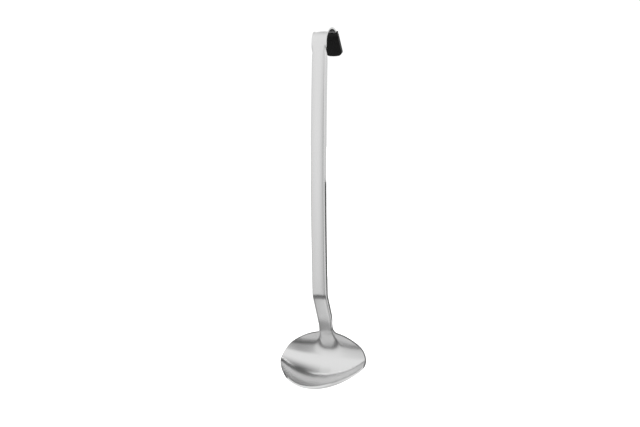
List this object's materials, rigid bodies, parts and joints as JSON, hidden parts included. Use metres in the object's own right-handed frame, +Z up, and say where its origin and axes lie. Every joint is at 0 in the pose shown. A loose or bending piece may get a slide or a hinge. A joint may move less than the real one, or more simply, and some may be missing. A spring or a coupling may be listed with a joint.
{
  "type": "sauce ladle",
  "caption": "Pressed steel sauce ladle: wide oval bowl, kinked neck, long channel handle and a hook whose back leg wears a plastic sleeve.",
  "frame": {"origin": "centre of the hook's bend, on the axis of the rail that the ladle hangs on", "axes": "+Z up along the handle as it hangs, -Y the front that the bowl opens to, +X across the ladle"},
  "size_m": [0.102, 0.0737, 0.3868],
  "materials": {
    "brushed_stainless": "satin, brushed along the handle",
    "sleeve_plastic": "smooth, half gloss"
  },
  "bodies": {
    "root": {"ladle": "brushed_stainless", "hook_sleeve": "sleeve_plastic"}
  },
  "joints": []
}
